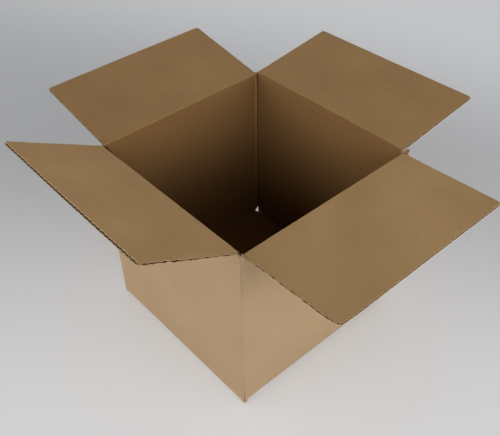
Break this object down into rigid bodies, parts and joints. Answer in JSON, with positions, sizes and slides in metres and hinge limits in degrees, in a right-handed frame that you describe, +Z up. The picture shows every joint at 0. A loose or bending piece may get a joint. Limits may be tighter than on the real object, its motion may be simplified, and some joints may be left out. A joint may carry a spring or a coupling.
{
  "type": "open cardboard box",
  "caption": "Open corrugated shipping carton folded from one slotted sheet, with glued corner tab, shut bottom flaps and hinged top flaps standing open.",
  "frame": {"origin": "centre of the base, on the surface the carton stands on", "axes": "+Z up out of the carton's mouth, -Y towards the front wall, +X towards the right wall"},
  "size_m": [0.5815, 0.5971, 0.3724],
  "materials": {
    "kraft_board": "matte uncoated kraft liner"
  },
  "bodies": {
    "carton": {"carton_body": "kraft_board"},
    "front_flap": {"front_flap": "kraft_board"},
    "back_flap": {"back_flap": "kraft_board"},
    "left_flap": {"left_flap": "kraft_board"},
    "right_flap": {"right_flap": "kraft_board"}
  },
  "joints": [
    {"name": "front_flap_fold", "type": "hinge", "parent": "carton", "child": "front_flap", "pos_m": [0, -0.1509, 0.2961], "axis": [-1, 0, 0], "range_deg": [-61.6, 178.4]},
    {"name": "back_flap_fold", "type": "hinge", "parent": "carton", "child": "back_flap", "pos_m": [0, 0.1509, 0.2961], "axis": [1, 0, 0], "range_deg": [-70.7, 169.3]},
    {"name": "left_flap_fold", "type": "hinge", "parent": "carton", "child": "left_flap", "pos_m": [-0.1501, 0, 0.2996], "axis": [0, 1, 0], "range_deg": [-88.5, 151.5]},
    {"name": "right_flap_fold", "type": "hinge", "parent": "carton", "child": "right_flap", "pos_m": [0.1501, 0, 0.2996], "axis": [0, -1, 0], "range_deg": [-67.4, 172.6]}
  ]
}
